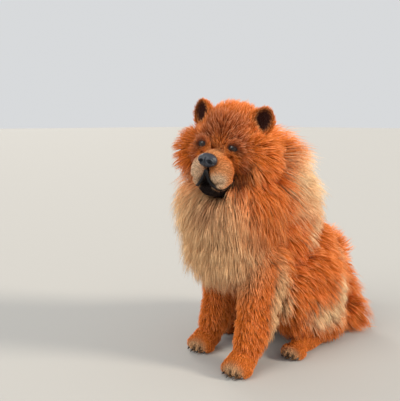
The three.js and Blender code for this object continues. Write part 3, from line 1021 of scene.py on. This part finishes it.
def build_claws():
    """A short blunt cone, bent down, at the tip of each toe."""
    bm = bmesh.new()
    for feet, paw in ((FORE_FEET, FOREPAW), (HIND_FEET, HINDPAW)):
        for at, place in itertools.product(feet, TOES):
            x, y = toe_at(place, paw["spread"], paw["reach_out"])
            bmesh.ops.create_cone(
                bm, cap_ends=True, segments=12, radius1=2.8, radius2=0.8, depth=10,
                matrix=placed((x, y + 4 - paw["toe"][1], 7.5), (118, 0, 0), at),
            )
    bmesh.ops.subdivide_edges(bm, edges=bm.edges, cuts=1, smooth=0.3)
    bmesh.ops.transform(bm, matrix=TO_METRES, verts=bm.verts)
    return mesh_of(bm, "claws")


# Settings of the add-on

def tone(name, description, red, green, blue):
    """A colour that a user can change."""
    return FloatVectorProperty(
        name=name, description=description, subtype="COLOR", size=3, min=0, max=1,
        default=shade(red, green, blue),
    )


class ChowCoatLook(bpy.types.PropertyGroup):
    """Colours of the coat, the face and the claws."""

    coat: tone("Coat", "Orange of the back, the flanks and the legs", 236, 124, 32)
    # Also painted shade in the creases by the muzzle, under the chin, and between the near foreleg and the
    # chest
    deep: tone("Deep red", "Red-brown of the forehead and round the eyes", 158, 66, 24)
    bib: tone("Bib", "Tan cream of the chest and the feathering", 246, 202, 152)
    # On the mane's outline this is a painted glow of the light from behind; on the breeches and the tufts'
    # tips it is their own cream
    rim: tone("Pale edge", "Cream of the mane's edge and the breeches", 255, 226, 182)
    muzzle: tone("Muzzle", "Tan orange of the muzzle's top and sides", 226, 154, 96)
    flew: tone("Flews", "Pale tan of the flews", 234, 200, 166)
    # Black lips; also painted shade between and under the flews, and in the gaps between the toes
    mouth: tone("Mouth", "Dark hair along the mouth", 36, 21, 17)
    # Also laid round the eyes, for the lids' dark skin and painted shade in their deep sockets
    ear: tone("Inside of the ear", "Dark brown of the ear's bowl", 70, 28, 16)
    toe: tone("Toes", "Pale tan of the toes", 226, 178, 132)
    iris: tone("Iris", "Brown of the eye", 52, 24, 12)
    leather: tone("Nose", "Slate of the nose", 34, 38, 47)
    lips: tone("Lips", "Blue-black of the lips", 12, 10, 12)
    claw: tone("Claws", "Horn of the claws", 70, 52, 42)


class ChowSizes(bpy.types.PropertyGroup):
    """Sizes of the skin's mesh and of the tufts."""

    skin_step: FloatProperty(
        name="Skin step", description="Width of a face of the skin, in millimetres", default=4.0, min=2,
    )
    spacing: FloatProperty(
        name="Spacing", description="Share of the usual gap between roots", default=1.0, min=0.5,
    )
    thickness: FloatProperty(
        name="Thickness", description="Share of the usual width of a tuft", default=1.0, min=0.3,
    )


class ChowStage(bpy.types.PropertyGroup):
    """The camera, the lights and the floor."""

    height: FloatProperty(
        name="Camera height", description="Above the ground", default=0.636, unit="LENGTH",
    )
    lens: FloatProperty(
        name="Lens", description="Focal length on a 36 mm sensor", default=51.93, unit="CAMERA",
    )
    floor: FloatProperty(name="Floor", description="Side of the floor", default=80, unit="LENGTH")
    pale: tone("Surroundings", "Colour of the light all round", 232, 234, 236)
    floor_tone: tone("Floor tone", "Colour of the floor", 176, 175, 172)


# Operators

PAIRED = ("ear", "foreleg", "forepaw", "hindpaw", "thigh")
SKIN_NODES = (
    "head", "lower_jaw", "mane", "torso", "tail",
    *[f"{part}_{word}" for part in PAIRED for word in SIDE_WORDS],
)


class CHOW_OT_skin(bpy.types.Operator):
    """Makes the skin in place of the solids of flesh"""

    bl_idname = "chow.skin"
    bl_label = "Skin"

    def execute(self, context):
        mesh = build_skin(context.scene.chow_look, context.scene.chow_sizes)
        finished(mesh, skin_material("undercoat"), SKIN_NODES)
        return {"FINISHED"}


class CHOW_OT_coat(bpy.types.Operator):
    """Grows the coat on the skin"""

    bl_idname = "chow.coat"
    bl_label = "Coat"

    def execute(self, context):
        grow_coat(bpy.data.objects["skin"].data, context.scene.chow_look, context.scene.chow_sizes)
        return {"FINISHED"}


class CHOW_OT_eyes(bpy.types.Operator):
    """Makes the eyeballs and the rims of their lids"""

    bl_idname = "chow.eyes"
    bl_label = "Eyes and lids"

    def execute(self, context):
        look = context.scene.chow_look
        wet = eye_material("wet_eye", look.iris)
        rim = leather_material("lid_rim", look.lips, 0.4, 1400, 0.0002, shine=0.25)
        for word, eye, lids in zip(SIDE_WORDS, EYES, LIDS):
            finished(build_eye(word, eye), wet, [f"eye_{word}"])
            finished(build_lids(word, lids), rim)
        return {"FINISHED"}


class CHOW_OT_nose(bpy.types.Operator):
    """Makes the nose and the lips"""

    bl_idname = "chow.nose"
    bl_label = "Nose and lips"

    def execute(self, context):
        look = context.scene.chow_look
        pad = leather_material("nose_pad", look.leather, 0.28, 900, 0.0006)
        finished(build_nose(), pad, ["nose"])
        rim = leather_material("lip_skin", look.lips, 0.45, 700, 0.0005, shine=0.2)
        for side, word in zip(SIDES, SIDE_WORDS):
            finished(build_lip(word, side), rim)
        return {"FINISHED"}


class CHOW_OT_claws(bpy.types.Operator):
    """Makes the claws"""

    bl_idname = "chow.claws"
    bl_label = "Claws"

    def execute(self, context):
        finished(build_claws(), claw_material("horn", context.scene.chow_look.claw))
        return {"FINISHED"}


# Stage

CAMERA_AT = (1.1096, -1.2522)  # metres in the dog's frame
CAMERA_LOOKS = (-0.743, 0.669, 0)
HORIZON = 80.5 / 400  # how far over the picture's middle the horizon is, in widths of the picture
SUNS = (  # name, the way that it shines, its power, its colour, and its spread in degrees
    ("key", (0.1, 1, -0.75), 1.75, (1, 0.96, 0.88), 40),
    ("rim_right", (-0.95, -0.6, -0.5), 3.2, (1, 0.9, 0.76), 14),
    ("rim_left", (1, -0.5, -0.5), 0.9, (1, 0.94, 0.84), 20),
)


def aimed(name, data, along):
    """A camera or a lamp that looks or shines along a direction."""
    thing = bpy.data.objects.new(name, data)
    thing.rotation_euler = Vector(along).to_track_quat("-Z", "Y").to_euler()
    bpy.context.scene.collection.objects.link(thing)
    return thing


def make_camera(stage):
    camera = bpy.data.cameras.new("camera")
    camera.sensor_width, camera.sensor_fit, camera.lens = 36, "HORIZONTAL", stage.lens
    camera.shift_y = -HORIZON
    eye = aimed("camera", camera, CAMERA_LOOKS)
    eye.location = (CAMERA_AT[0], CAMERA_AT[1] + MIDDLE_Y * MM, stage.height)
    bpy.context.scene.camera = eye


def make_floor(stage):
    bm = bmesh.new()
    bmesh.ops.create_grid(bm, x_segments=1, y_segments=1, size=stage.floor / 2)
    floor = bpy.data.objects.new("floor", mesh_of(bm, "floor"))
    paint = Recipe("pale_floor", {"Base Color": (*stage.floor_tone, 1), "Roughness": 0.9})
    floor.data.materials.append(paint.material)
    bpy.context.scene.collection.objects.link(floor)


def make_light(stage):
    scene = bpy.context.scene
    scene.world = bpy.data.worlds.new("studio")
    scene.world.use_nodes = True
    sky = scene.world.node_tree.nodes["Background"].inputs
    sky["Color"].default_value, sky["Strength"].default_value = (*stage.pale, 1), 0.85
    for name, along, power, colour, spread in SUNS:
        lamp = bpy.data.lights.new(name, "SUN")
        lamp.energy, lamp.color, lamp.angle = power, colour, math.radians(spread)
        aimed(name, lamp, along)
    scene.view_settings.view_transform = "Standard"


class CHOW_OT_stage(bpy.types.Operator):
    """Makes the camera, the floor and the lights"""

    bl_idname = "chow.stage"
    bl_label = "Stage"

    def execute(self, context):
        stage = context.scene.chow_stage
        make_camera(stage)
        make_floor(stage)
        make_light(stage)
        return {"FINISHED"}


# Panel and registration

class CHOW_PT_panel(bpy.types.Panel):
    """Lists the settings and the pieces of the dog."""

    bl_idname = "CHOW_PT_panel"
    bl_label = "Chow chow"
    bl_space_type = "VIEW_3D"
    bl_region_type = "UI"
    bl_category = "Chow chow"

    def draw(self, context):
        for group in SETTINGS:
            settings = getattr(context.scene, group)
            for name in settings.bl_rna.properties.keys():
                if name not in ("rna_type", "name"):
                    self.layout.prop(settings, name)
        for step in STEPS_OF_MAKING:
            self.layout.operator(step.bl_idname)


SETTINGS = {"chow_look": ChowCoatLook, "chow_sizes": ChowSizes, "chow_stage": ChowStage}
STEPS_OF_MAKING = (CHOW_OT_stage, CHOW_OT_skin, CHOW_OT_eyes, CHOW_OT_nose, CHOW_OT_claws, CHOW_OT_coat)
CLASSES = (*SETTINGS.values(), *STEPS_OF_MAKING, CHOW_PT_panel)


def register():
    for made in CLASSES:
        bpy.utils.register_class(made)
    for name, group in SETTINGS.items():
        setattr(bpy.types.Scene, name, PointerProperty(type=group))


def unregister():
    for name in SETTINGS:
        delattr(bpy.types.Scene, name)
    for made in reversed(CLASSES):
        bpy.utils.unregister_class(made)


def corners(box):
    return [list(corner) for corner in box]


def main():
    register()
    for step in STEPS_OF_MAKING:
        group, name = step.bl_idname.split(".")
        getattr(getattr(bpy.ops, group), name)()


if __name__ == "__main__":
    main()
